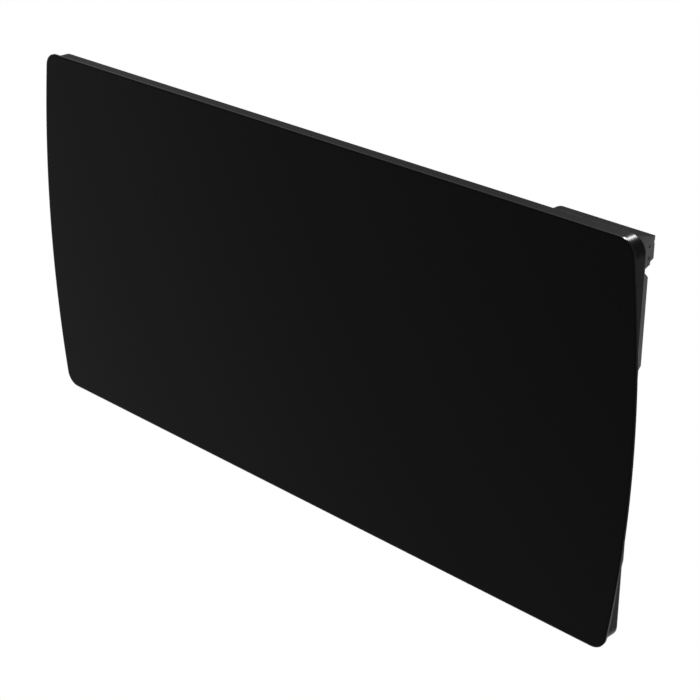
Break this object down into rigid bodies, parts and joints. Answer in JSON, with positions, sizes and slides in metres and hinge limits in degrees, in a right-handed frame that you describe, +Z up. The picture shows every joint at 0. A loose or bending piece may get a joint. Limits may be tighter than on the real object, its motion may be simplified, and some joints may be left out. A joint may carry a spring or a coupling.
{
  "type": "ceramic electric radiator",
  "caption": "Wall-hung electric radiator: bowed black glass plate over ceramic heating slabs in a shallow frame, control box at the upper rear corner, hook-on wall bracket with lock levers.",
  "frame": {"origin": "centre of the wall screw pattern on the wall plane, level with the middle of the glass", "axes": "+X to the right along the width, seen from the room; +Y into the wall; +Z up"},
  "size_m": [1, 0.055, 0.49],
  "materials": {
    "black_glass": "polished, printed black behind",
    "silicone": "matt",
    "frame_paint": "satin black powder coat",
    "galvanised": "galvanised",
    "cordierite": "matt, as fired",
    "ribbon": "rolled",
    "zinc": "zinc plated",
    "reflector": "bright",
    "fibre_mat": "needled glass fibre",
    "panel_paint": "satin dark grey powder coat",
    "black_screws": "black oxide",
    "box_plastic": "fine spark-eroded grain",
    "circuit_board": "solder mask",
    "board_parts": "moulded",
    "steatite": "glazed steatite",
    "black_plastic": "moulded",
    "rocker_plastic": "moulded, glossy",
    "sensor_plastic": "moulded",
    "wire_sleeve": "silicone sleeve",
    "lever_zinc": "yellow passivated zinc",
    "buffer_rubber": "matt"
  },
  "bodies": {
    "heater": {"glass_front": "black_glass", "glass_bond": "silicone", "frame": "frame_paint", "frame_joiner": "galvanised", "ceramic_slabs": "cordierite", "heating_ribbons": "ribbon", "clamp_bars": "galvanised", "clamp_screws": "zinc", "reflector_sheet": "reflector", "insulation_mat": "fibre_mat", "back_panel": "panel_paint", "panel_screws": "black_screws", "control_base": "box_plastic", "control_lid": "box_plastic", "lid_screws": "black_screws", "side_screws": "black_screws", "control_board": "circuit_board", "board_parts": "board_parts", "touch_board": "circuit_board", "terminal_block": "steatite", "switch_body": "black_plastic", "thermal_cutouts": "steatite", "room_sensor": "sensor_plastic", "core_wiring": "wire_sleeve", "cable_gland": "black_plastic", "gland_nut": "black_plastic", "channel_left": "galvanised", "channel_right": "galvanised", "rail_top": "galvanised", "rail_bottom": "galvanised", "rail_rivets": "zinc", "lock_rivets": "zinc", "lock_keepers": "galvanised", "bracket_buffers": "buffer_rubber"},
    "rocker": {"power_rocker": "rocker_plastic"},
    "left_lock": {"lock_lever_left": "lever_zinc"},
    "right_lock": {"lock_lever_right": "lever_zinc"}
  },
  "joints": [
    {"name": "rocker_tilt", "type": "hinge", "parent": "heater", "child": "rocker", "pos_m": [0.417, -0.0406, -0.2385], "axis": [0, -1, 0], "range_deg": [0, 16]},
    {"name": "left_lock_turn", "type": "hinge", "parent": "heater", "child": "left_lock", "pos_m": [-0.2, -0.0213, -0.185], "axis": [0, 1, 0], "range_deg": [0, 80]},
    {"name": "right_lock_turn", "type": "hinge", "parent": "heater", "child": "right_lock", "pos_m": [0.2, -0.0213, -0.185], "axis": [0, -1, 0], "range_deg": [0, 80]}
  ]
}
